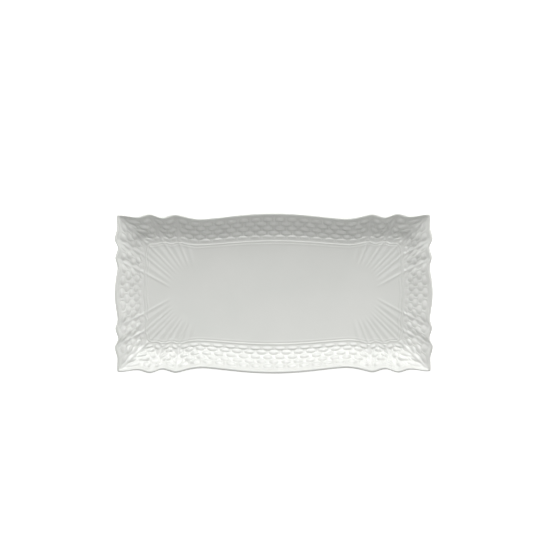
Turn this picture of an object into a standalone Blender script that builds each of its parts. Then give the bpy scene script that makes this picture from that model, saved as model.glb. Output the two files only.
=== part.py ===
"""A china serving platter: a shallow oblong tray with a wavy rim, modelled in metres with +Z up.

The origin is the centre of the plane that the foot stands on. +X runs along the long sides and +Y points to the
back. The real platter is one fired porcelain body. Its formed members are separate solids here, with a hairline gap
between them: the well floor, four border panels mitred at the corners, four lengths of rounded lip, and the foot.
"""

import math

import bmesh
import bpy
from mathutils import Vector

MM = 0.001

# Overall size
LENGTH = 352.0 * MM
WIDTH = 178.4 * MM
HEIGHT = 26.0 * MM

# Heights and thicknesses
FLOOR_TOP = 7.5 * MM
WALL_THICKNESS = 4.0 * MM
LIP_RADIUS = WALL_THICKNESS / 2
LIP_DIP = 0.8 * MM
GAP = 0.3 * MM

# Slope of the wall where it leaves the well and where it meets the lip
FOOT_SLOPE = math.radians(10.0)
LIP_SLOPE = math.radians(54.0)

# Half of each side runs from the middle of its arc through a valley, a cusp, a valley, a cusp and a valley to the
# corner. The stations are (distance along the side, inset from the box that the curve fits).
LIP_LONG = ((0.0, 0.0), (79.0, 5.9), (108.3, 1.0), (123.2, 4.4), (137.6, 0.8), (151.0, 3.9))
LIP_SHORT = ((0.0, 0.0), (28.0, 2.9), (38.4, 0.7), (50.0, 3.4), (60.0, 0.1), (72.7, 2.7))
WELL_LONG = ((0.0, 0.0), (83.8, 4.4), (105.3, 1.1), (113.4, 2.8), (122.9, 1.0), (130.8, 2.9))
WELL_SHORT = ((0.0, 0.0), (15.6, 1.4), (22.4, 0.7), (31.4, 2.5), (41.4, 1.3), (48.6, 2.8))
WELL_LENGTH = 288.6 * MM
WELL_WIDTH = 115.2 * MM
LIP_CORNER_INSET = (0.9 * MM, 1.2 * MM)
WELL_CORNER_INSET = (3.7 * MM, 2.7 * MM)

# How quickly each stretch between two stations leaves its second station: 1 is a plain wave, less is sharper
STRETCH_SHARPNESS = (0.75, 0.7, 1.0, 1.0, 1.0, 1.0)
# How far the lip dips at each station, as a share of LIP_DIP
DIP_SHARE = (0.0, 1.0, 0.0, 0.6, 0.0, 0.5, 0.0)
LAST_STATION = 6
CUSP_STATIONS = (2, 4, 6)

# Ribs run up the border to the cusps and the corners, and a small moulding follows the well's edge
RIB_HEIGHT = 0.9 * MM
RIB_FLANK = 0.13
MOULDING_HEIGHT = 0.5 * MM
# (share of the wall's arc, rib height share, moulding height share) for each point of the border's upper face
FACE_ROWS = (
    (0.0, 0.0, 0.0),
    (0.03, 0.3, 1.0),
    (0.07, 0.5, 0.0),
    (0.25, 1.0, 0.0),
    (0.50, 1.0, 0.0),
    (0.75, 1.0, 0.0),
    (0.88, 0.0, 0.0),
    (1.0, 0.0, 0.0),
)
BACK_ROWS = (1.0, 0.66, 0.33, 0.0)
LIP_ARC_STEPS = 6
LONG_STEPS = (6, 3, 2, 2, 2, 2)
SHORT_STEPS = (3, 2, 2, 2, 2, 2)

# The foot: a rounded oblong ring under the floor
FOOT_LENGTH = 262.0 * MM
FOOT_WIDTH = 92.0 * MM
FOOT_CORNER_RADIUS = 20.0 * MM
FOOT_CORNER_STEPS = 8
FOOT_HEIGHT = FLOOR_TOP - WALL_THICKNESS - GAP
FOOT_TOP_WIDTH = 7.0 * MM
FOOT_BASE_WIDTH = 4.0 * MM
FOOT_EDGE = 0.6 * MM

# Each side of the platter: its turn about +Z from the back side, and whether it is a long one
SIDES = {
    "back": (0.0, True),
    "left": (math.pi / 2, False),
    "front": (math.pi, True),
    "right": (3 * math.pi / 2, False),
}


def clear_scene():
    """Removes everything that the file starts with."""
    for obj in list(bpy.data.objects):
        bpy.data.objects.remove(obj)


def make_material(name, colour, roughness):
    """A plain Principled material."""
    material = bpy.data.materials.new(name)
    material.use_nodes = True
    shader = material.node_tree.nodes["Principled BSDF"]
    shader.inputs["Base Color"].default_value = (*colour, 1.0)
    shader.inputs["Roughness"].default_value = roughness
    shader.inputs["Metallic"].default_value = 0.0
    return material


def ease(share, sharpness):
    """A smooth rise from 0 to 1."""
    return math.sin(math.pi / 2 * share**sharpness) ** 2


def between(first, last, share):
    """The value at that share of the way from first to last."""
    return first + (last - first) * share


def stations(table, half_length, half_width, corner_inset):
    """A side's table in metres, with the corner as its last station."""
    points = [(along * MM, half_width - inset * MM) for along, inset in table]
    points.append((half_length - corner_inset[0], half_width - corner_inset[1]))
    return points


def side_curves(is_long):
    """The stations of the lip's outline and of the well's edge on one side, as (along, outward)."""
    if is_long:
        lip = stations(LIP_LONG, LENGTH / 2, WIDTH / 2, LIP_CORNER_INSET)
        well = stations(WELL_LONG, WELL_LENGTH / 2, WELL_WIDTH / 2, WELL_CORNER_INSET)
    else:
        lip = stations(LIP_SHORT, WIDTH / 2, LENGTH / 2, LIP_CORNER_INSET[::-1])
        well = stations(WELL_SHORT, WELL_WIDTH / 2, WELL_LENGTH / 2, WELL_CORNER_INSET[::-1])
    return lip, well


def stretch(place):
    """The station before a place, and the share of the way from it to the next one. Places run from -6 to 6."""
    first = min(int(abs(place)), LAST_STATION - 1)
    return first, abs(place) - first


def on_curve(points, place):
    """(along, outward) at a place on a side's curve."""
    first, share = stretch(place)
    along = between(points[first][0], points[first + 1][0], share)
    wave = ease(1 - share, STRETCH_SHARPNESS[first])
    outward = between(points[first + 1][1], points[first][1], wave)
    return Vector((math.copysign(along, place), outward))


def lip_centre_height(place):
    """Height of the lip's centre line, which dips a little in the valleys."""
    first, share = stretch(place)
    wave = ease(1 - share, STRETCH_SHARPNESS[first])
    dip = between(DIP_SHARE[first + 1], DIP_SHARE[first], wave)
    return HEIGHT - LIP_RADIUS - LIP_DIP * dip


def wall_line(curves, place):
    """The well's edge, the outward direction and the lip's centre at a place, in the side's plan."""
    lip, well = curves
    edge = on_curve(well, place)
    rim = on_curve(lip, place)
    outward = (rim - edge).normalized()
    return edge, outward, rim - outward * LIP_RADIUS


def wall_point(width, rise, arc_share):
    """A point of the wall's upper face and its normal there, as (outward, up) from the well's edge."""
    slope = between(FOOT_SLOPE, LIP_SLOPE, arc_share)
    run = (math.sin(slope) - math.sin(FOOT_SLOPE)) / (math.sin(LIP_SLOPE) - math.sin(FOOT_SLOPE))
    climb = (math.cos(FOOT_SLOPE) - math.cos(slope)) / (math.cos(FOOT_SLOPE) - math.cos(LIP_SLOPE))
    tangent = Vector(
        (
            width * math.cos(slope) / (math.sin(LIP_SLOPE) - math.sin(FOOT_SLOPE)),
            rise * math.sin(slope) / (math.cos(FOOT_SLOPE) - math.cos(LIP_SLOPE)),
        )
    ).normalized()
    return Vector((width * run, rise * climb)), Vector((-tangent.y, tangent.x))


def wall_size(curves, place):
    """Width in plan and rise of the wall's upper face, up to where the lip takes over."""
    edge, _, centre = wall_line(curves, place)
    width = (centre - edge).length - LIP_RADIUS * math.sin(LIP_SLOPE)
    rise = lip_centre_height(place) + LIP_RADIUS * math.cos(LIP_SLOPE) - FLOOR_TOP
    return width, rise


def in_space(curves, place, turn, section, mitre_gap):
    """Section points, as (outward, up) from the well's edge, turned to their side in space."""
    edge, outward, _ = wall_line(curves, place)
    at_end = abs(place) == LAST_STATION
    shift = -math.copysign(mitre_gap, place) if at_end else 0.0
    points = []
    for out, up in section:
        plan = edge + outward * out
        along = plan.x + shift
        points.append(
            Vector(
                (
                    along * math.cos(turn) - plan.y * math.sin(turn),
                    along * math.sin(turn) + plan.y * math.cos(turn),
                    FLOOR_TOP + up,
                )
            )
        )
    return points


def rib_share(place):
    """1 on a rib's crest and 0 elsewhere."""
    return 1.0 if abs(place) in CUSP_STATIONS else 0.0


def border_section(curves, place):
    """The closed outline of a border panel across the wall."""
    width, rise = wall_size(curves, place)
    outline = []
    for arc_share, rib, moulding in FACE_ROWS:
        point, normal = wall_point(width, rise, arc_share)
        lift = max(RIB_HEIGHT * rib * rib_share(place), MOULDING_HEIGHT * moulding)
        outline.append(point + normal * lift)
    for arc_share in BACK_ROWS:
        point, normal = wall_point(width, rise, arc_share)
        outline.append(point - normal * WALL_THICKNESS)
    return outline


def lip_section(curves, place):
    """The closed outline of the lip: a half disc on the end of the wall."""
    edge, _, centre = wall_line(curves, place)
    middle = Vector(((centre - edge).length, lip_centre_height(place) - FLOOR_TOP))
    start = math.pi / 2 + LIP_SLOPE
    outline = []
    for step in range(LIP_ARC_STEPS + 1):
        angle = start - math.pi * step / LIP_ARC_STEPS
        outline.append(middle + LIP_RADIUS * Vector((math.cos(angle), math.sin(angle))))
    tangent = Vector((math.cos(LIP_SLOPE), math.sin(LIP_SLOPE)))
    outline[0] += tangent * GAP
    outline[-1] += tangent * GAP
    return outline


def side_places(is_long):
    """The places where a side's sections stand, from one corner to the other, with one each side of a rib."""
    half = set()
    for first, steps in enumerate(LONG_STEPS if is_long else SHORT_STEPS):
        half.update(first + step / steps for step in range(steps))
    for station in CUSP_STATIONS:
        half.update((station - RIB_FLANK, station, station + RIB_FLANK))
    half = sorted(place for place in half if place <= LAST_STATION)
    return [-place for place in reversed(half) if place] + half


def loft(name, sections, is_ring, material):
    """A closed solid through sections with the same number of points."""
    mesh = bmesh.new()
    rings = [[mesh.verts.new(point) for point in section] for section in sections]
    count = len(rings[0])
    pairs = list(zip(rings, rings[1:]))
    if is_ring:
        pairs.append((rings[-1], rings[0]))
    else:
        mesh.faces.new(rings[0])
        mesh.faces.new(rings[-1])
    for ring, following in pairs:
        for i in range(count):
            j = (i + 1) % count
            mesh.faces.new((ring[i], ring[j], following[j], following[i]))
    return add_object(name, mesh, material)


def add_object(name, mesh, material):
    """Puts a bmesh in the scene as a smooth-shaded object with its faces pointing out."""
    bmesh.ops.recalc_face_normals(mesh, faces=mesh.faces)
    data = bpy.data.meshes.new(name)
    mesh.to_mesh(data)
    mesh.free()
    data.materials.append(material)
    data.shade_smooth()
    data.set_sharp_from_angle(angle=math.radians(35))
    obj = bpy.data.objects.new(name, data)
    bpy.context.scene.collection.objects.link(obj)
    return obj


def make_border(side, material):
    """One sloping border panel, with its ribs and its share of the well moulding."""
    turn, is_long = SIDES[side]
    curves = side_curves(is_long)
    sections = [
        in_space(curves, place, turn, border_section(curves, place), GAP)
        for place in side_places(is_long)
    ]
    return loft(f"{side}_border", sections, False, material)


def make_lip(side, material):
    """One length of the rounded lip."""
    turn, is_long = SIDES[side]
    curves = side_curves(is_long)
    sections = [
        in_space(curves, place, turn, lip_section(curves, place), GAP)
        for place in side_places(is_long)
    ]
    return loft(f"{side}_lip", sections, False, material)


def make_well_floor(material):
    """The flat panel inside the border, cut to the well's edge."""
    mesh = bmesh.new()
    corners = []
    for turn, is_long in (SIDES[side] for side in ("back", "right", "front", "left")):
        curves = side_curves(is_long)
        for place in side_places(is_long)[:-1]:
            corners += in_space(curves, place, turn, [Vector((-GAP, 0.0))], 0.0)
    top = mesh.faces.new([mesh.verts.new(corner) for corner in corners])
    lower = bmesh.ops.extrude_face_region(mesh, geom=[top])["geom"]
    moved = [part for part in lower if isinstance(part, bmesh.types.BMVert)]
    bmesh.ops.translate(mesh, verts=moved, vec=(0, 0, -WALL_THICKNESS))
    return add_object("well_floor", mesh, material)


def rounded_oblong(half_length, half_width, radius):
    """Points and outward directions round an oblong with round corners."""
    line = []
    for quarter in range(4):
        sign_x = 1 if quarter in (0, 3) else -1
        sign_y = 1 if quarter in (0, 1) else -1
        centre = Vector((sign_x * (half_length - radius), sign_y * (half_width - radius)))
        for step in range(FOOT_CORNER_STEPS + 1):
            angle = math.pi / 2 * (quarter + step / FOOT_CORNER_STEPS)
            outward = Vector((math.cos(angle), math.sin(angle)))
            line.append((centre + outward * radius, outward))
    return line


def make_foot_ring(material):
    """The ring that the platter stands on, wider where it meets the floor."""
    top, base = FOOT_TOP_WIDTH / 2, FOOT_BASE_WIDTH / 2
    section = (
        (-top, FOOT_HEIGHT),
        (-base - FOOT_EDGE / 2, FOOT_EDGE),
        (-base + FOOT_EDGE / 2, 0.0),
        (base - FOOT_EDGE / 2, 0.0),
        (base + FOOT_EDGE / 2, FOOT_EDGE),
        (top, FOOT_HEIGHT),
    )
    sections = []
    for point, outward in rounded_oblong(FOOT_LENGTH / 2, FOOT_WIDTH / 2, FOOT_CORNER_RADIUS):
        sections.append([Vector((*(point + outward * out), up)) for out, up in section])
    return loft("foot_ring", sections, True, material)


def main():
    clear_scene()
    porcelain = make_material("glazed_porcelain", (0.79, 0.80, 0.75), 0.12)
    biscuit = make_material("bare_porcelain", (0.78, 0.76, 0.70), 0.75)
    make_well_floor(porcelain)
    for side in SIDES:
        make_border(side, porcelain)
        make_lip(side, porcelain)
    make_foot_ring(biscuit)


main()
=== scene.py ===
"""The looks of a white porcelain serving platter, built round its CAD frame.

Every visible piece is a closed solid of its own: the well, four border panels, four lengths of
lip and the foot. Neighbours' edges are drawn from the same curves, so the glaze seems to run on
over the joints. Each side is described once, in its own plan: `along`
runs along the side from its middle, `outward` runs away from the platter's centre. A place on a
side is a number from -6 at one corner to 6 at the other. A share of the wall's width is 0 at the
well's edge and 1 at the lip.
"""

import math

import bpy
import numpy as np
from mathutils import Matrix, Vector


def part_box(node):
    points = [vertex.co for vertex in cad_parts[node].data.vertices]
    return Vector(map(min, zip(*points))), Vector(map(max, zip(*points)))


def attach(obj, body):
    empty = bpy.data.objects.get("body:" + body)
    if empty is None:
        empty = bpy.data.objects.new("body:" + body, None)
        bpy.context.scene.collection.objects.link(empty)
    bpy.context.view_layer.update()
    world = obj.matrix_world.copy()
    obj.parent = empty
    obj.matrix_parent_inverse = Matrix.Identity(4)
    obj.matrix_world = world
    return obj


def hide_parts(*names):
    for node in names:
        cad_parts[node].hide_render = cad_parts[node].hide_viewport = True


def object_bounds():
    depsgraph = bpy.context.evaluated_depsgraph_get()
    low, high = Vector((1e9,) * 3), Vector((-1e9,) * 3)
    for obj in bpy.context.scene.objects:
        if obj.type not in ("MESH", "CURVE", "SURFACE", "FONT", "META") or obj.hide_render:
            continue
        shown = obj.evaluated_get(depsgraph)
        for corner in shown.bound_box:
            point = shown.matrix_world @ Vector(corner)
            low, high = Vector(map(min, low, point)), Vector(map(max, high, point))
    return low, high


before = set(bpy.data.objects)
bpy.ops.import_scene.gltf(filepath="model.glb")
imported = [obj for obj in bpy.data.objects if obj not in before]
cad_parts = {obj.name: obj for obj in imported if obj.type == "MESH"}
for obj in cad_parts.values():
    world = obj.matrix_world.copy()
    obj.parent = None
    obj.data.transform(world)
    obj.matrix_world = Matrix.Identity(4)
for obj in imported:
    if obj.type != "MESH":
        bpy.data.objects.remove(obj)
cad_low, cad_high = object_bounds()

MM = 0.001

# Sizes from the frame
LENGTH = cad_high.x - cad_low.x
WIDTH = cad_high.y - cad_low.y
HEIGHT = cad_high.z
FLOOR_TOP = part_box("well_floor")[1].z
FLOOR_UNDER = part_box("well_floor")[0].z
THICKNESS = FLOOR_TOP - FLOOR_UNDER
LIP_RADIUS = THICKNESS / 2

# The wavy curves of the lip and of the well's edge, in millimetres at the stations of half a side:
# (distance along the side, inset)
LIP_LONG = ((0.0, 0.0), (79.0, 5.9), (108.3, 1.0), (123.2, 4.4), (137.6, 0.8), (151.0, 3.9))
LIP_SHORT = ((0.0, 0.0), (28.0, 2.9), (38.4, 0.7), (50.0, 3.4), (60.0, 0.1), (72.7, 2.7))
WELL_LONG = ((0.0, 0.0), (83.8, 4.4), (105.3, 1.1), (113.4, 2.8), (122.9, 1.0), (130.8, 2.9))
WELL_SHORT = ((0.0, 0.0), (15.6, 1.4), (22.4, 0.7), (31.4, 2.5), (41.4, 1.3), (48.6, 2.8))
WELL_LENGTH = 288.6 * MM
WELL_WIDTH = 115.2 * MM
LIP_CORNER_INSET = (2.2 * MM, 1.7 * MM)
WELL_CORNER_INSET = (3.7 * MM, 2.7 * MM)
# How far a corner is drawn in to round it: at the well's edge, on the wall and at the lip. A bias
# above 1 puts the most of it nearer to the lip
CORNER_DRAW = (2.2 * MM, 10.0 * MM, 1.3 * MM)
CORNER_BIAS = 1.7
# The power of the wave along each stretch between stations, where less than 1 sharpens its far end,
# and the share of the lip's full dip at each station
STRETCH_SHARPNESS = np.array((0.75, 0.7, 1.0, 1.0, 1.0, 1.0))
DIP_SHARE = np.array((0.0, 1.0, 0.0, 0.6, 0.0, 0.5, 0.0))
LIP_DIP = 0.8 * MM
LAST_STATION = 6
CUSP_STATIONS = (2, 4, 6)

# The wall's profile: its slope at shares of its width. The lip starts at the wall's last slope, so
# that its edge lies on the wall's end. Where the wall meets the well the relief stands straight up,
# and further out it leans with the wall
PROFILE_SHARES = (0.0, 0.26, 0.36, 0.60, 1.0)
PROFILE_SLOPES = np.radians((3.0, 7.0, 32.0, 37.0, 50.0))
LIP_SLOPE = PROFILE_SLOPES[-1]
LEAN_START = (0.0, 0.12)

# Basket weave: rows of strands across the wall, and the count of cells from a side's middle at each
# station
FIRST_ROW = 0.145
ROW_PITCH = 0.175
ROWS = 5
CELLS_LONG = (0.0, 6.0, 8.0, 9.0, 10.0, 11.0, 12.0)
CELLS_SHORT = (0.5, 2.3, 3.0, 4.0, 5.0, 6.0, 7.0)
STRAND_HEIGHT_LONG = 1.25 * MM
STRAND_HEIGHT_SHORT = 0.80 * MM
STRAND_GROWTH = (1.0, 1.3)
STRAND_REACH = 0.42
STRAND_HALF_WIDTH = 0.54
STRAND_FALL = 1.15
STAKE_HEIGHT = 0.28 * MM
STAKE_WIDTH = 0.06
WEAVE_START = (0.04, 0.30)
WEAVE_END = (0.90, 0.96)

# Ribs on the wall and rays in the well
RIB_HEIGHT = 1.35 * MM
RIB_WIDTH = 1.25 * MM
RIB_WAIST = 0.38
RIB_GROOVE = 1.9 * MM
RIB_START = (0.0, 0.10)
RIB_END = (0.86, 1.0)
RAY_HEIGHT = 0.29 * MM
RAY_WIDTH = 1.0 * MM
FLUTE_HEIGHT = 0.22 * MM
FLUTE_WIDTH = 1.6 * MM
RAY_END = (26.0 * MM, 42.0 * MM)
RAY_FOCUS = (86.0 * MM, 0.0)
# Where each ray aims on the long axis: the short side's two cusps, the corner, then the long side's
# two cusps
RAY_AIMS = {("short", 2): 103.0 * MM, ("short", 4): 94.0 * MM, ("long", 6): 87.0 * MM,
            ("long", 4): 84.0 * MM, ("long", 2): 83.0 * MM}

# Mouldings along the well's edge: (distance outward from the edge, height, width)
MOULDINGS = ((-0.2 * MM, 0.28 * MM, 0.55 * MM), (-3.0 * MM, 0.14 * MM, 0.60 * MM))
WELL_SAG = 1.1 * MM
SEAM_FADE = 0.9 * MM

# The foot: its width where it meets the floor and where it stands, the rounding of its edge and how
# it flares
FOOT_TOP = 7.0 * MM
FOOT_BASE = 4.2 * MM
FOOT_EDGE = 0.8 * MM
FOOT_FLARE = 2.4
FOOT_CORNER_RADIUS = 20.0 * MM
FOOT_CORNER_STEPS = 40
FOOT_ROWS = 10

# How finely the surfaces are divided
SPACING = 0.42 * MM
WALL_ROWS = 84
UNDER_ROWS = 14
LIP_STEPS = 20
WELL_STRIDE = 2
WELL_MIDDLE_STRIDE = 4
PROFILE_STEPS = 401
EDGE_STEPS = 2000

# The glaze: its colours in the clouds and on the crests of the relief, and (scale, detail) of each
# noise
GLAZE_COLOURS = ((0.765, 0.778, 0.742), (0.795, 0.803, 0.768))
GLAZE_CREST_COLOUR = (0.82, 0.825, 0.80)
CREST_LIGHTENING = 0.5
GLAZE_CLOUDS = (16.0, 2.0)
CLOUD_RANGE = (0.3, 0.7)
GLAZE_ROUGHNESS = (0.07, 0.17)
POLISH = (70.0, 3.0)
RIPPLE = (130.0, 1.0)
RIPPLE_DEPTH = 0.06 * MM
FINE_RIPPLE = (1100.0, 2.0)
FINE_RIPPLE_DEPTH = 0.004 * MM
GLAZE_IOR = 1.75

# The bare body on the foot's standing edge, and the ragged line that the glaze is wiped to
BODY_COLOURS = ((0.80, 0.765, 0.69), (0.70, 0.655, 0.57))
BODY_ROUGHNESS = 0.78
GRIT = (2600.0, 4.0)
GRIT_RANGE = (0.35, 0.75)
GRIT_DEPTH = 0.05 * MM
FOOT_GLAZE_ROUGHNESS = 0.12
WIPED_TO = 0.75 * MM
WIPE = (90.0, 3.0)
WIPE_WANDER = 0.25 * MM
WIPE_SOFTNESS = 0.06 * MM

# The floor
FLOOR_HALF_SIZE = 3.0
FLOOR_COLOUR = (0.9, 0.9, 0.9, 1.0)
FLOOR_ROUGHNESS = 0.9
FLOOR_GLOW = 0.6
WHITE = (1.0, 1.0, 1.0, 1.0)

# Area lights: place, the point it faces, size and power
LIGHTS = {
    "window": ((0.1, 1.6, 0.83), (0.1, 0.0, 0.83), (1.9, 1.22), 24.0),
    "skylight": ((0.0, 1.5, 2.2), (0.0, 0.0, 0.0), (1.6, 1.6), 21.0),
    "overhead": ((0.0, 0.45, 2.6), (0.0, 0.45, 0.0), (1.6, 0.95), 3.6),
    "left_wall": ((-1.8, 0.3, 0.5), (0.0, 0.3, 0.5), (2.0, 1.0), 4.5),
    "right_wall": ((1.8, 0.3, 0.5), (0.0, 0.3, 0.5), (2.0, 1.0), 6.5),
}
# How bright the room is on the side away from the window and on the window's side
ROOM_LIGHT = (0.37, 0.16)

# The camera looks straight down from a little behind and to the left of the platter's centre, and
# is rolled a little
CAMERA_DISTANCE = 2.0
FRAME_WIDTH = 596.7 * MM
SENSOR_WIDTH = 36.0
CAMERA_LENS = SENSOR_WIDTH * CAMERA_DISTANCE / FRAME_WIDTH
CAMERA_OFFSET = (-4.1 * MM, 25.4 * MM)
CAMERA_ROLL = math.radians(-0.12)

# Each side's turn about +Z from the back side, and whether it is a long one
SIDES = {
    "back": (0.0, True),
    "left": (math.pi / 2, False),
    "front": (math.pi, True),
    "right": (3 * math.pi / 2, False),
}


def smooth_step(value, low, high):
    """0 below low, 1 above high and a smooth rise between them."""
    share = np.clip((value - low) / (high - low), 0.0, 1.0)
    return share * share * (3 - 2 * share)


def bump(distance, width):
    """A rounded ridge with its crest at 0."""
    return np.exp(-0.5 * (distance / width) ** 2)


def off_line(points, start, end):
    """Signed distance of points from the line through start and end."""
    line = (end - start) / np.linalg.norm(end - start)
    return (points[..., 0] - start[0]) * line[1] - (points[..., 1] - start[1]) * line[0]


def folded(plan):
    """Plan points, with the half before a side's middle mirrored onto the half after it."""
    return np.stack((np.abs(plan[..., 0]), plan[..., 1]), axis=-1)


def stretch(place):
    """The station before each place, the share of the way to the next one, and how much of the
    first one's outward distance holds there."""
    size = np.abs(place)
    first = np.minimum(size.astype(int), LAST_STATION - 1)
    share = size - first
    return first, share, np.sin(math.pi / 2 * (1 - share) ** STRETCH_SHARPNESS[first]) ** 2


def stations(table, half_length, half_width, corner_inset):
    """A side's table in metres, with the corner as its last station."""
    points = [(along * MM, half_width - inset * MM) for along, inset in table]
    points.append((half_length - corner_inset[0], half_width - corner_inset[1]))
    return np.array(points)


class Side:
    """One side of the platter: its curves, its weave and its turn in space."""

    def __init__(self, name):
        self.name = name
        self.turn, self.is_long = SIDES[name]
        if self.is_long:
            self.lip = stations(LIP_LONG, LENGTH / 2, WIDTH / 2, LIP_CORNER_INSET)
            self.well = stations(WELL_LONG, WELL_LENGTH / 2, WELL_WIDTH / 2, WELL_CORNER_INSET)
            self.cells = CELLS_LONG
            self.strand_height = STRAND_HEIGHT_LONG
        else:
            self.lip = stations(LIP_SHORT, WIDTH / 2, LENGTH / 2, LIP_CORNER_INSET[::-1])
            self.well = stations(WELL_SHORT, WELL_WIDTH / 2, WELL_LENGTH / 2,
                                 WELL_CORNER_INSET[::-1])
            self.cells = CELLS_SHORT
            self.strand_height = STRAND_HEIGHT_SHORT

    def places(self):
        """Places from corner to corner, evenly spread between stations, with every station among
        them."""
        half = [np.zeros(1)]
        for first in range(LAST_STATION):
            run = max(np.diff(line[first:first + 2, 0])[0] for line in (self.lip, self.well))
            steps = WELL_MIDDLE_STRIDE * math.ceil(run / SPACING / WELL_MIDDLE_STRIDE)
            half.append(first + np.arange(1, steps + 1) / steps)
        half = np.concatenate(half)
        return np.concatenate((-half[:0:-1], half))

    def curve(self, points, place):
        """(along, outward) at places on one of the side's curves."""
        first, share, wave = stretch(place)
        along = points[first, 0] + (points[first + 1, 0] - points[first, 0]) * share
        outward = points[first + 1, 1] + (points[first, 1] - points[first + 1, 1]) * wave
        return np.stack((np.sign(place) * along, outward), axis=-1)

    def lip_height(self, place):
        """Height of the lip's centre line, which dips a little in the valleys."""
        first, _, wave = stretch(place)
        dip = DIP_SHARE[first + 1] + (DIP_SHARE[first] - DIP_SHARE[first + 1]) * wave
        return HEIGHT - LIP_RADIUS - LIP_DIP * dip

    def corner_draw(self, plan, share):
        """The way that the plan is drawn in beside a corner's diagonal, so that both sides meet
        there smoothly, and the share of the wall's width by which its middle is drawn in further
        than its two edges."""
        edge, tip = self.well[-1], self.lip[-1]
        diagonal = (tip - edge) / np.linalg.norm(tip - edge)
        off = np.abs(off_line(folded(plan), edge, tip))
        lean = diagonal[0] / diagonal[1]
        at_well, on_wall, at_lip = CORNER_DRAW
        bulge = np.sin(math.pi * np.asarray(share) ** CORNER_BIAS) ** 2
        swell = (on_wall - (at_well + at_lip) / 2) * bulge
        most = at_well + (at_lip - at_well) * share + swell
        fade = np.exp(-off * lean / most)
        signs = np.stack((np.sign(plan[..., 0]), np.ones(plan.shape[:-1])), axis=-1)
        draw = signs * diagonal * (most * fade)[..., None]
        return draw, swell * fade / np.linalg.norm(tip - edge)

    def round_corner(self, plan, share):
        """The plan with its corners rounded."""
        return plan - self.corner_draw(plan, share)[0]

    def off_rib(self, plan, station):
        """Plan distance from the line that joins a station on the well's edge to the same station
        on the lip."""
        return off_line(folded(plan), self.well[station], self.lip[station])

    def across_wall(self, place):
        """The well's edge and the lip's rim at places, how far apart they are and the way from one
        to the other."""
        edge = self.curve(self.well, place)
        rim = self.curve(self.lip, place)
        reach = np.linalg.norm(rim - edge, axis=-1, keepdims=True)
        return edge, rim, reach[..., 0], (rim - edge) / reach

    def in_space(self, plan, up):
        """Plan points and heights, turned to this side of the platter."""
        cos, sin = math.cos(self.turn), math.sin(self.turn)
        x = plan[..., 0] * cos - plan[..., 1] * sin
        y = plan[..., 0] * sin + plan[..., 1] * cos
        return np.stack((x, y, np.broadcast_to(up, x.shape)), axis=-1)


def wall_profile(share):
    """Slope, and share of the wall's rise, at a share of its width in plan."""
    steps = np.linspace(0, 1, PROFILE_STEPS)
    steep = np.tan(np.interp(steps, PROFILE_SHARES, PROFILE_SLOPES))
    climb = np.concatenate(([0.0], np.cumsum((steep[1:] + steep[:-1]) / 2)))
    slope = np.interp(share, PROFILE_SHARES, PROFILE_SLOPES)
    return slope, np.interp(share, steps, climb / climb[-1])


def weave(side, place, share):
    """Height of the woven relief on the wall."""
    cell = np.interp(np.abs(place), range(LAST_STATION + 1), side.cells)
    height = np.zeros(np.broadcast(place, share).shape)
    for row in range(ROWS):
        across = ((share - FIRST_ROW) / ROW_PITCH - row) / STRAND_HALF_WIDTH
        offset = cell - 0.5 * ((row + 1) % 2)
        offset = offset - np.rint(offset)
        pillow = np.clip(1 - (offset / STRAND_REACH) ** 2 - across**2, 0.0, 1.0)
        strand = side.strand_height * pillow**STRAND_FALL
        stake = STAKE_HEIGHT * bump(np.abs(offset) - 0.5, STAKE_WIDTH)
        stake = stake * np.clip(1 - across**2, 0, 1)
        height = np.maximum(height, np.maximum(strand, stake))
    height *= STRAND_GROWTH[0] + (STRAND_GROWTH[1] - STRAND_GROWTH[0]) * share
    return height * smooth_step(share, *WEAVE_START) * (1 - smooth_step(share, *WEAVE_END))


def rib_swell(share):
    """Share of a rib's height up the wall: it swells in the two rows whose strands cross it."""
    row = (share - FIRST_ROW) / ROW_PITCH
    swell = RIB_WAIST + (1 - RIB_WAIST) * np.sin(math.pi / 2 * row) ** 2
    return swell * smooth_step(share, *RIB_START) * (1 - smooth_step(share, *RIB_END))


def mouldings(outward):
    """Height of the mouldings along the well's edge, at a distance outward from it."""
    return sum(height * bump(outward - centre, width) for centre, height, width in MOULDINGS)


def wall_grid(side, place, share, relief):
    """Plan and heights of a border's upper face, or of the plain wall if relief is false, with the
    way outward, how far the face leans and how far its relief stands up."""
    edge, _, reach, outward = side.across_wall(place)
    width = reach - LIP_RADIUS - LIP_RADIUS * math.sin(LIP_SLOPE)
    rise = side.lip_height(place) + LIP_RADIUS * math.cos(LIP_SLOPE) - FLOOR_TOP
    slope, climb = wall_profile(share)
    run = width * share
    up = FLOOR_TOP + rise * climb
    lean = slope * smooth_step(share, *LEAN_START)
    lift = np.zeros(np.broadcast(place, share).shape)
    if relief:
        plan = edge + outward * run[..., None]
        height_share = share - side.corner_draw(plan, share)[1]
        lift += weave(side, place, height_share)
        for station in CUSP_STATIONS:
            off = side.off_rib(plan, station)
            rib = RIB_HEIGHT * bump(off, RIB_WIDTH) * rib_swell(height_share)
            lift = lift * (1 - bump(off, RIB_GROOVE)) + rib
        lift += mouldings(run)
    plan = side.round_corner(edge + outward * (run - lift * np.sin(lean))[..., None], share)
    return plan, up + lift * np.cos(lean), outward, lean, lift


def grid_normals(points):
    """Unit normals of a grid of points."""
    normal = np.cross(*(np.gradient(points, axis=axis, edge_order=2) for axis in (0, 1)))
    return normal / np.linalg.norm(normal, axis=-1, keepdims=True)


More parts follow.
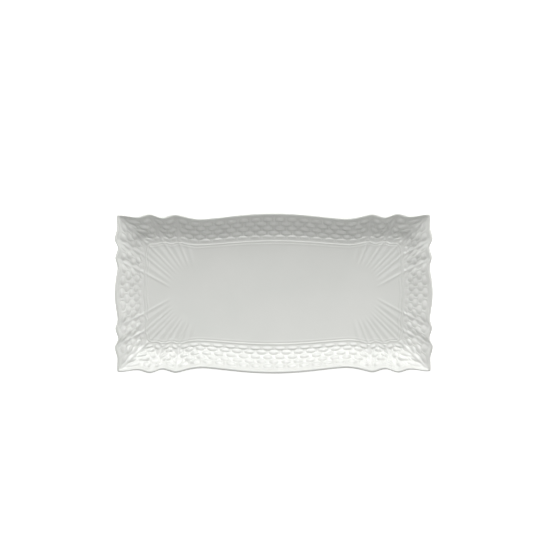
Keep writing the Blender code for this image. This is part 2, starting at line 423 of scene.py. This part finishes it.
def make_piece(name, points, faces, face_normals, material, crests=None):
    """A mesh object from points, faces and one normal for each face corner. A zero normal leaves
    the face flat. crests says how far each point stands up in the relief, for the glaze, which is
    thinner there."""
    data = bpy.data.meshes.new(name)
    data.from_pydata(points.tolist(), [], faces)
    data.shade_smooth()
    data.materials.append(material)
    if crests is not None:
        data.attributes.new("crest", "FLOAT", "POINT").data.foreach_set("value", crests.ravel())
    obj = bpy.data.objects.new(name, data)
    bpy.context.scene.collection.objects.link(obj)
    data.normals_split_custom_set(face_normals.tolist())
    return obj


def loft(name, rings, smooth_rows, material, is_ring=False, crests=None):
    """A closed solid through rings of points. smooth_rows lists the (first, last) rows of points
    that shade as one."""
    count, around = rings.shape[:2]
    wrapped = np.concatenate((rings[-1:], rings, rings[:1])) if is_ring else rings
    normals = np.zeros_like(wrapped)
    smooth = np.zeros(around, bool)
    for first, last in smooth_rows:
        normals[:, first:last + 1] = grid_normals(wrapped[:, first:last + 1])
        smooth[first:last] = True
    if is_ring:
        normals = normals[1:-1]
    i, j = np.meshgrid(np.arange(count if is_ring else count - 1), np.arange(around), indexing="ij")
    following, k = (i + 1) % count, (j + 1) % around
    here, there = i * around, following * around
    quads = np.stack((here + j, there + j, there + k, here + k), axis=-1)
    corner_normals = normals.reshape(-1, 3)[quads]
    corner_normals[:, ~smooth] = 0.0
    faces = quads.reshape(-1, 4).tolist()
    loops = corner_normals.reshape(-1, 3)
    if not is_ring:
        faces.append(list(range(around)))
        faces.append(list(range(count * around - 1, (count - 1) * around - 1, -1)))
        loops = np.concatenate((loops, np.zeros((2 * around, 3))))
    return make_piece(name, rings.reshape(-1, 3), faces, loops, material, crests)


def make_border(side, material):
    """A border panel: the woven face above, the smooth wall below."""
    place = side.places()[:, None]
    plan, up, _, _, lift = wall_grid(side, place, np.linspace(0, 1, WALL_ROWS)[None], True)
    upper = side.in_space(plan, up)
    plan, up, outward, lean, _ = wall_grid(side, place, np.linspace(1, 0, UNDER_ROWS)[None], False)
    lean = np.broadcast_to(lean, up.shape)
    plan = plan + outward * (THICKNESS * np.sin(lean))[..., None]
    lower = side.in_space(plan, up - THICKNESS * np.cos(lean))
    rings = np.concatenate((upper, lower), axis=1)
    rows = ((0, WALL_ROWS - 1), (WALL_ROWS, WALL_ROWS + UNDER_ROWS - 1))
    crests = np.concatenate((lift / side.strand_height, np.zeros(lower.shape[:2])), axis=1)
    return loft(f"{side.name}_border_glazed", rings, rows, material, crests=crests)


def make_lip(side, material):
    """A length of the rounded lip."""
    place = side.places()[:, None]
    _, rim, _, outward = side.across_wall(place)
    angle = math.pi / 2 + LIP_SLOPE - math.pi * np.linspace(0, 1, LIP_STEPS)[None]
    out = LIP_RADIUS * (np.cos(angle) - 1)
    plan = side.round_corner(rim + outward * out[..., None], 1.0)
    up = side.lip_height(place) + LIP_RADIUS * np.sin(angle)
    return loft(f"{side.name}_lip_glazed", side.in_space(plan, up), ((0, LIP_STEPS - 1),), material)


def well_relief(points, long_side, short_side):
    """Height of the well's surface above its flat level."""
    size = np.abs(points)
    inward = []
    for side, plan in ((long_side, size), (short_side, size[..., ::-1])):
        place = np.linspace(0, LAST_STATION, EDGE_STEPS)
        line = side.round_corner(side.curve(side.well, place), 0.0)
        inward.append(np.interp(plan[..., 0], line[:, 0], line[:, 1]) - plan[..., 1])
    across, along = (np.clip(distance, 0.0, None) for distance in inward)
    sag = WELL_SAG * (1 - (1 - across / (WELL_WIDTH / 2)) ** 2)
    sag = sag * (1 - (1 - along / (WELL_LENGTH / 2)) ** 4)
    inward = np.minimum(across, along)
    height = mouldings(-inward)
    radius = np.hypot(size[..., 0] - RAY_FOCUS[0], size[..., 1])
    rays = np.zeros_like(radius)
    starts = []
    for (kind, station), aim in RAY_AIMS.items():
        start = short_side.well[station][::-1] if kind == "short" else long_side.well[station]
        starts.append((start, np.array((aim, 0.0))))
    for start, end in starts:
        rays += RAY_HEIGHT * bump(off_line(size, start, end), RAY_WIDTH)
    for (start, end), (next_start, next_end) in zip(starts, starts[1:]):
        off = off_line(size, (start + next_start) / 2, (end + next_end) / 2)
        rays += FLUTE_HEIGHT * bump(off, FLUTE_WIDTH)
    beside = starts[-1][0] * 1.5 - starts[-2][0] * 0.5
    rays += FLUTE_HEIGHT * bump(off_line(size, beside, starts[-1][1] - (2 * MM, 0)), FLUTE_WIDTH)
    rays *= smooth_step(inward, 0.0, SEAM_FADE) * smooth_step(radius, *RAY_END)
    return height + rays - sag


def well_places(side):
    """The border's places, thinned for the well."""
    place = side.places()
    index = np.arange(len(place))
    middle = (np.abs(place) < 1) & side.is_long
    keep = np.where(middle, index % WELL_MIDDLE_STRIDE == len(place) // 2 % WELL_MIDDLE_STRIDE,
                    index % WELL_STRIDE == len(place) // 2 % WELL_STRIDE)
    return place[keep]


def make_well(material):
    """The well's panel with its sag, mouldings and rays, cut to the well's edge."""
    long_side, short_side = Side("back"), Side("left")
    across = long_side.round_corner(long_side.curve(long_side.well, well_places(long_side)), 0.0)
    along = short_side.round_corner(short_side.curve(short_side.well, well_places(short_side)), 0.0)
    back, front = across, across * (1, -1)
    right, left = along[:, ::-1], along[:, ::-1] * (-1, 1)
    s = ((back[:, 0] - back[0, 0]) / (back[-1, 0] - back[0, 0]))[:, None, None]
    t = ((right[:, 1] - right[0, 1]) / (right[-1, 1] - right[0, 1]))[None, :, None]
    plan = (1 - t) * front[:, None] + t * back[:, None] + (1 - s) * left[None] + s * right[None]
    plan -= ((1 - s) * (1 - t) * front[0] + s * (1 - t) * front[-1]
             + (1 - s) * t * back[0] + s * t * back[-1])
    up = FLOOR_TOP + well_relief(plan, long_side, short_side)
    grid = np.concatenate((plan, up[..., None]), axis=-1)
    normals = grid_normals(grid)
    nx, ny = grid.shape[:2]
    index = np.arange(nx * ny).reshape(nx, ny)
    quads = np.stack((index[:-1, :-1], index[1:, :-1], index[1:, 1:], index[:-1, 1:]), axis=-1)
    quads = quads.reshape(-1, 4)
    rim = np.concatenate((index[:, 0], index[-1, 1:], index[-2::-1, -1], index[0, -2:0:-1]))
    top = grid.reshape(-1, 3)
    under = top[rim] * (1, 1, 0) + (0, 0, FLOOR_UNDER)
    below = nx * ny + np.arange(len(rim))
    walls = np.stack((rim, below, np.roll(below, -1), np.roll(rim, -1)), axis=-1)
    faces = quads.tolist() + walls.tolist() + [below[::-1].tolist()]
    flat = np.zeros((4 * len(walls) + len(below), 3))
    loops = np.concatenate((normals.reshape(-1, 3)[quads].reshape(-1, 3), flat))
    return make_piece("well_glazed", np.concatenate((top, under)), faces, loops, material)


def rounded_oblong(half_length, half_width, radius):
    """Points and outward directions round an oblong with round corners."""
    angle = np.linspace(0, math.pi / 2, FOOT_CORNER_STEPS + 1)
    outward = np.concatenate([np.stack((np.cos(angle + turn), np.sin(angle + turn)), axis=-1)
                              for turn in np.arange(4) * math.pi / 2])
    quarter = np.arange(4).repeat(len(angle))
    x_sign = np.where((quarter == 0) | (quarter == 3), 1, -1)
    signs = np.stack((x_sign, np.where(quarter < 2, 1, -1)), axis=-1)
    return signs * (half_length - radius, half_width - radius) + outward * radius, outward


def make_foot(material):
    """The foot: a ring with a rounded standing edge that flares into the floor above it."""
    foot_low, foot_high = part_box("foot_ring")
    line, outward = rounded_oblong(foot_high.x - FOOT_TOP / 2, foot_high.y - FOOT_TOP / 2,
                                   FOOT_CORNER_RADIUS)
    up = np.linspace(FLOOR_UNDER, FOOT_EDGE, FOOT_ROWS)
    flare = ((up - FOOT_EDGE) / (FLOOR_UNDER - FOOT_EDGE)) ** FOOT_FLARE
    flank = FOOT_BASE / 2 + (FOOT_TOP - FOOT_BASE) / 2 * flare
    angle = np.linspace(0, math.pi / 2, FOOT_ROWS)[1:]
    half = np.concatenate((flank, FOOT_BASE / 2 - FOOT_EDGE * (1 - np.cos(angle))))
    up = np.concatenate((up, foot_low.z + FOOT_EDGE * (1 - np.sin(angle))))
    out = np.concatenate((half, -half[::-1]))
    up = np.concatenate((up, up[::-1]))
    plan = line[:, None] + outward[:, None] * out[None, :, None]
    heights = np.broadcast_to(up[None, :, None], (len(line), len(up), 1))
    rings = np.concatenate((plan, heights), axis=-1)
    return loft("foot_ring_fired", rings[::-1], ((0, len(up) - 1),), material, is_ring=True)


def new_material(name):
    """A material, its node tree and its Principled shader."""
    material = bpy.data.materials.new(name)
    material.use_nodes = True
    return material, material.node_tree, material.node_tree.nodes["Principled BSDF"]


def noise(tree, scale, detail):
    """A noise from 0 to 1, with about that many lumps to the metre."""
    texture = tree.nodes.new("ShaderNodeTexNoise")
    texture.inputs["Scale"].default_value = scale
    texture.inputs["Detail"].default_value = detail
    place = tree.nodes.new("ShaderNodeTexCoord")
    tree.links.new(place.outputs["Object"], texture.inputs["Vector"])
    return texture.outputs["Fac"]


def scaled(tree, value, low, high, from_low=0.0, from_high=1.0):
    """A value brought from one range to another."""
    node = tree.nodes.new("ShaderNodeMapRange")
    tree.links.new(value, node.inputs["Value"])
    limits = {"From Min": from_low, "From Max": from_high, "To Min": low, "To Max": high}
    for socket, number in limits.items():
        node.inputs[socket].default_value = number
    return node.outputs["Result"]


def blended(tree, share, first, second):
    """A colour between two, each a colour or a socket."""
    node = tree.nodes.new("ShaderNodeMix")
    node.data_type = "RGBA"
    tree.links.new(share, node.inputs["Factor"])
    for name, colour in (("A", first), ("B", second)):
        socket = next(each for each in node.inputs if each.name == name and each.type == "RGBA")
        if isinstance(colour, tuple):
            socket.default_value = (*colour, 1.0)
        else:
            tree.links.new(colour, socket)
    return next(socket for socket in node.outputs if socket.type == "RGBA")


def bumped(tree, height, depth, normal=None):
    """A bump of that depth in metres, over another bump if one is given."""
    node = tree.nodes.new("ShaderNodeBump")
    node.inputs["Distance"].default_value = depth
    tree.links.new(height, node.inputs["Height"])
    if normal is not None:
        tree.links.new(normal, node.inputs["Normal"])
    return node.outputs["Normal"]


def glaze_colour(tree):
    """White with a grey-green cast, cloudy from place to place, lighter where the glaze is thin on
    a crest."""
    clouds = scaled(tree, noise(tree, *GLAZE_CLOUDS), 0.0, 1.0, *CLOUD_RANGE)
    ground = blended(tree, clouds, *GLAZE_COLOURS)
    crest = tree.nodes.new("ShaderNodeAttribute")
    crest.attribute_name = "crest"
    thinness = scaled(tree, crest.outputs["Fac"], 0.0, CREST_LIGHTENING)
    return blended(tree, thinness, ground, GLAZE_CREST_COLOUR)


def make_glaze():
    """Glossy porcelain glaze, with the faint ripple and the uneven polish that firing leaves."""
    material, tree, shader = new_material("porcelain_glaze")
    tree.links.new(glaze_colour(tree), shader.inputs["Base Color"])
    tree.links.new(scaled(tree, noise(tree, *POLISH), *GLAZE_ROUGHNESS), shader.inputs["Roughness"])
    ripple = bumped(tree, noise(tree, *RIPPLE), RIPPLE_DEPTH)
    fine = bumped(tree, noise(tree, *FINE_RIPPLE), FINE_RIPPLE_DEPTH, ripple)
    tree.links.new(fine, shader.inputs["Normal"])
    shader.inputs["IOR"].default_value = GLAZE_IOR
    return material


def make_foot_finish():
    """Glaze on the foot's flanks, wiped off its standing edge, where the fired body shows bare and
    gritty."""
    material, tree, shader = new_material("wiped_foot")
    place = tree.nodes.new("ShaderNodeTexCoord")
    split = tree.nodes.new("ShaderNodeSeparateXYZ")
    tree.links.new(place.outputs["Object"], split.inputs["Vector"])
    ragged = tree.nodes.new("ShaderNodeMath")
    ragged.operation = "ADD"
    tree.links.new(split.outputs["Z"], ragged.inputs[0])
    tree.links.new(scaled(tree, noise(tree, *WIPE), -WIPE_WANDER, WIPE_WANDER), ragged.inputs[1])
    limit = (WIPED_TO - WIPE_SOFTNESS, WIPED_TO + WIPE_SOFTNESS)
    glazed = scaled(tree, ragged.outputs["Value"], 0.0, 1.0, *limit)
    grit = noise(tree, *GRIT)
    body = blended(tree, scaled(tree, grit, 0.0, 1.0, *GRIT_RANGE), *BODY_COLOURS)
    tree.links.new(blended(tree, glazed, body, glaze_colour(tree)), shader.inputs["Base Color"])
    roughness = scaled(tree, glazed, BODY_ROUGHNESS, FOOT_GLAZE_ROUGHNESS)
    tree.links.new(roughness, shader.inputs["Roughness"])
    grain = tree.nodes.new("ShaderNodeMath")
    grain.operation = "MULTIPLY"
    tree.links.new(grit, grain.inputs[0])
    tree.links.new(scaled(tree, glazed, 1.0, 0.0), grain.inputs[1])
    tree.links.new(bumped(tree, grain.outputs["Value"], GRIT_DEPTH), shader.inputs["Normal"])
    shader.inputs["IOR"].default_value = GLAZE_IOR
    return material


def make_stage():
    """A plain white floor."""
    mesh = bpy.data.meshes.new("floor")
    half = FLOOR_HALF_SIZE
    corners = [(-half, -half, 0), (half, -half, 0), (half, half, 0), (-half, half, 0)]
    mesh.from_pydata(corners, [], [(0, 1, 2, 3)])
    floor = bpy.data.objects.new("floor", mesh)
    bpy.context.scene.collection.objects.link(floor)
    material = bpy.data.materials.new("white_paper")
    material.use_nodes = True
    shader = material.node_tree.nodes["Principled BSDF"]
    shader.inputs["Base Color"].default_value = FLOOR_COLOUR
    shader.inputs["Roughness"].default_value = FLOOR_ROUGHNESS
    shader.inputs["Specular IOR Level"].default_value = 0.0
    shader.inputs["Emission Color"].default_value = WHITE
    shader.inputs["Emission Strength"].default_value = FLOOR_GLOW
    mesh.materials.append(material)


def area_light(name, place, target, size, power):
    """A soft rectangular light that faces a point."""
    data = bpy.data.lights.new(name, "AREA")
    data.shape = "RECTANGLE"
    data.size, data.size_y = size
    data.energy = power
    light = bpy.data.objects.new(name, data)
    light.location = place
    light.rotation_euler = (Vector(target) - Vector(place)).to_track_quat("-Z", "Y").to_euler()
    bpy.context.scene.collection.objects.link(light)


def make_studio():
    """Soft light from behind, above and both sides, a pale room and the overhead camera."""
    world = bpy.data.worlds.new("pale_room")
    world.use_nodes = True
    tree = world.node_tree
    background = tree.nodes["Background"]
    background.inputs["Color"].default_value = WHITE
    direction = tree.nodes.new("ShaderNodeTexCoord")
    split = tree.nodes.new("ShaderNodeSeparateXYZ")
    tree.links.new(direction.outputs["Generated"], split.inputs["Vector"])
    strength = scaled(tree, split.outputs["Y"], *ROOM_LIGHT, -1.0, 1.0)
    tree.links.new(strength, background.inputs["Strength"])
    bpy.context.scene.world = world
    for name, (place, target, size, power) in LIGHTS.items():
        area_light(name, place, target, size, power)
    camera_data = bpy.data.cameras.new("camera")
    camera_data.lens = CAMERA_LENS
    camera = bpy.data.objects.new("camera", camera_data)
    camera.location = (*CAMERA_OFFSET, HEIGHT - LIP_RADIUS + CAMERA_DISTANCE)
    camera.rotation_euler = (0.0, 0.0, CAMERA_ROLL)
    bpy.context.scene.collection.objects.link(camera)
    bpy.context.scene.camera = camera
    bpy.context.scene.view_settings.view_transform = "Standard"


glaze = make_glaze()
well = make_well(glaze)
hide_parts("well_floor")
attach(well, "root")
for side_name in SIDES:
    platter_side = Side(side_name)
    for make, node in ((make_border, "border"), (make_lip, "lip")):
        piece = make(platter_side, glaze)
        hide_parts(f"{side_name}_{node}")
        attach(piece, "root")
foot = make_foot(make_foot_finish())
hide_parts("foot_ring")
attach(foot, "root")
make_stage()
make_studio()
